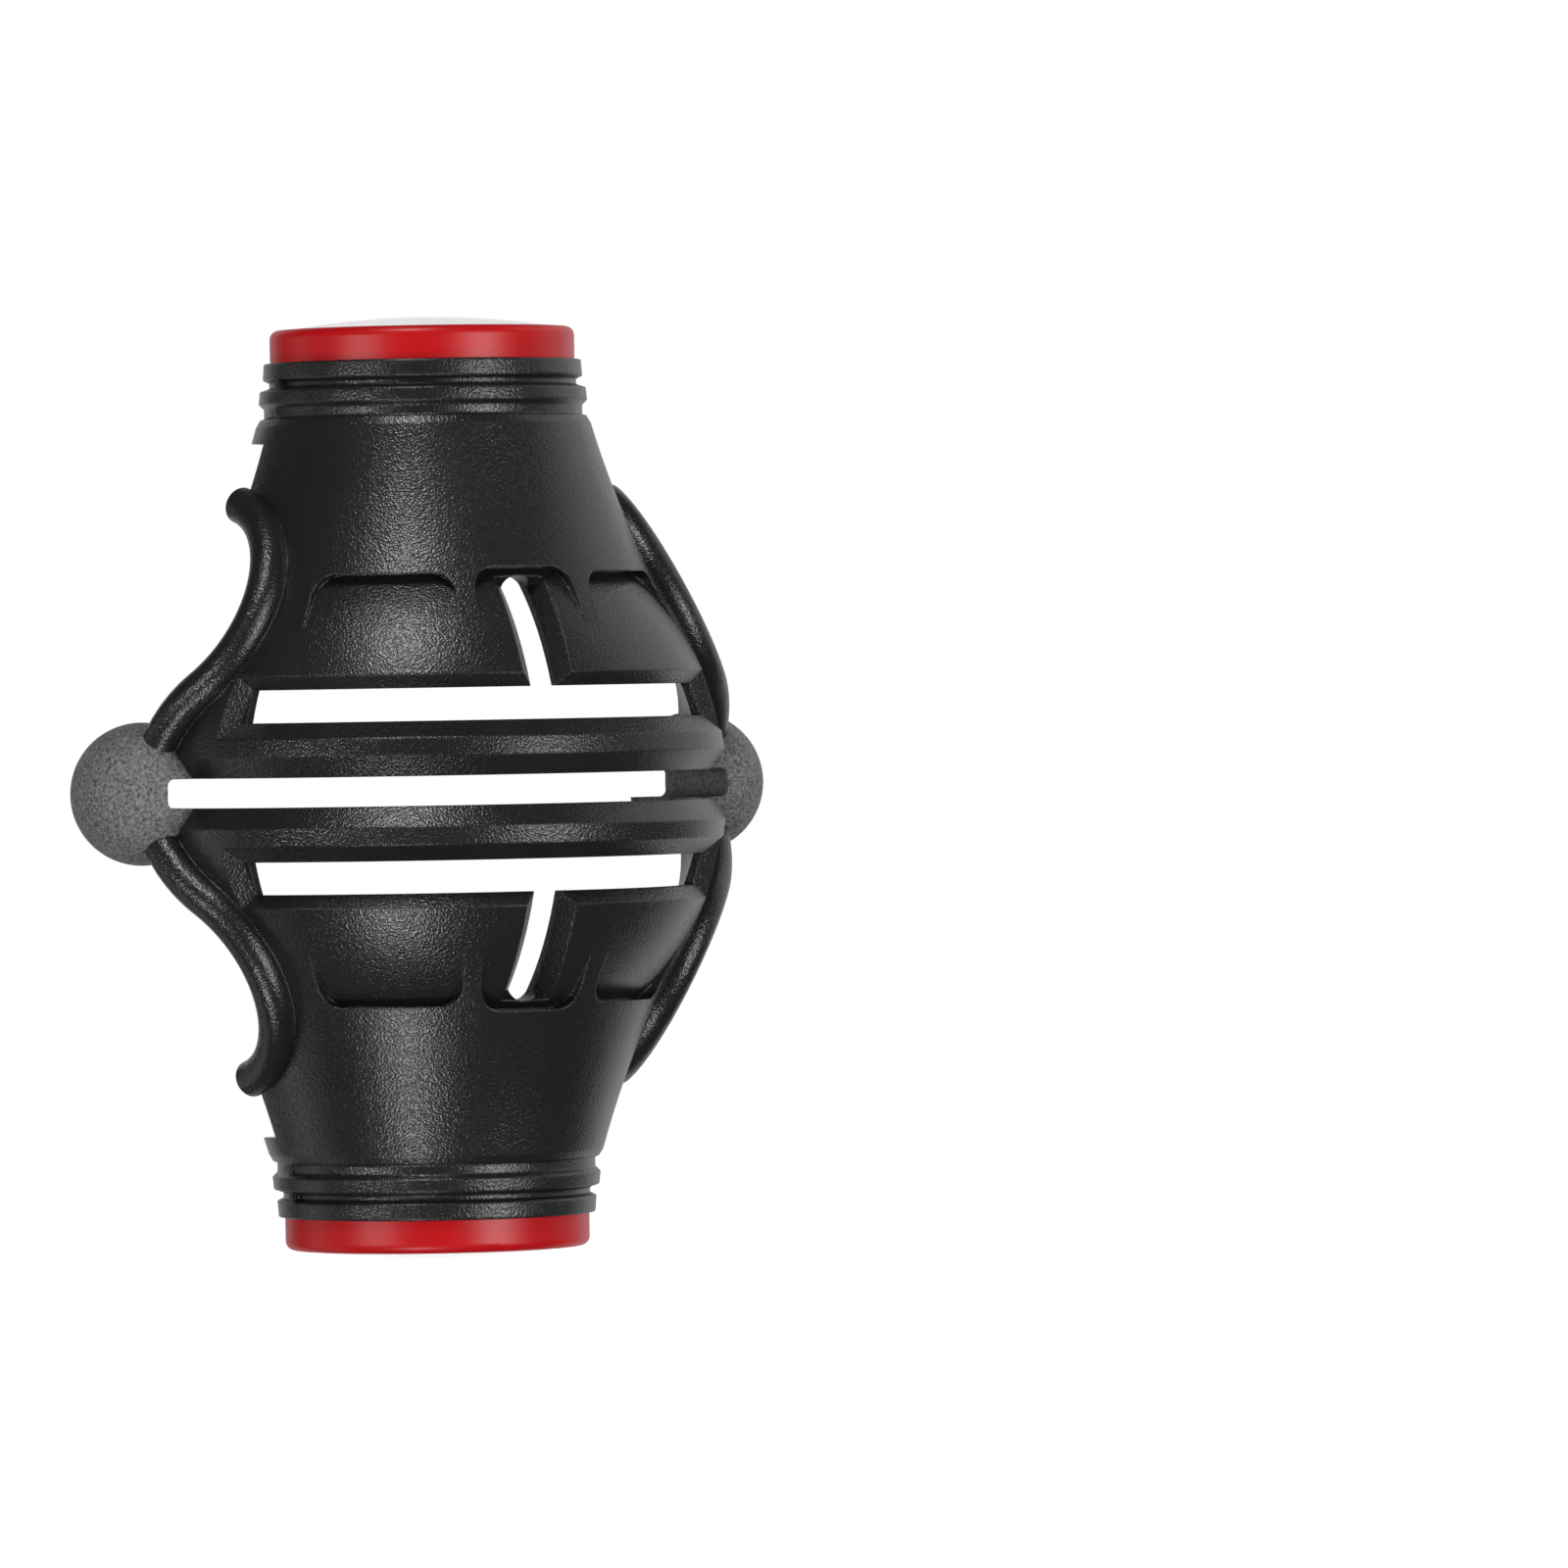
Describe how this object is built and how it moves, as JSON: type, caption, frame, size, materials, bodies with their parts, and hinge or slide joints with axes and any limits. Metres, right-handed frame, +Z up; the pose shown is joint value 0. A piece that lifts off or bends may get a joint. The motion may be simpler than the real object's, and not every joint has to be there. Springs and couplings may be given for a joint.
{
  "type": "golf ball line marker",
  "caption": "Half-shell clip that pushes onto a golf ball, with line slots to draw through and a magnetic ball marker on each end.",
  "frame": {"origin": "centre of the golf ball that the clip holds", "axes": "+Z up along the neck axis, the slotted front towards -Y, the ball leaves along +Y, the knobs at -X and +X"},
  "size_m": [0.0594, 0.0368, 0.0742],
  "materials": {
    "body_plastic": "fine grained satin black",
    "knob_plastic": "sandblasted matte charcoal",
    "marker_red": "satin red",
    "clear_resin": "clear domed resin",
    "label": "plain pale",
    "steel": "plain",
    "magnet_plating": "nickel plated"
  },
  "bodies": {
    "clip": {"clip_body": "body_plastic", "left_knob": "knob_plastic", "right_knob": "knob_plastic", "upper_magnet": "magnet_plating", "lower_magnet": "magnet_plating"},
    "upper_marker": {"upper_marker_body": "marker_red", "upper_steel_disc": "steel", "upper_label_disc": "label", "upper_dome": "clear_resin"},
    "lower_marker": {"lower_marker_body": "marker_red", "lower_steel_disc": "steel", "lower_label_disc": "label", "lower_dome": "clear_resin"}
  },
  "joints": [
    {"name": "upper_marker_lift", "type": "slide", "parent": "clip", "child": "upper_marker", "axis": [0, 0, 1], "range_m": [0, 0.012]},
    {"name": "lower_marker_lift", "type": "slide", "parent": "clip", "child": "lower_marker", "axis": [0, 0, -1], "range_m": [0, 0.012]}
  ]
}
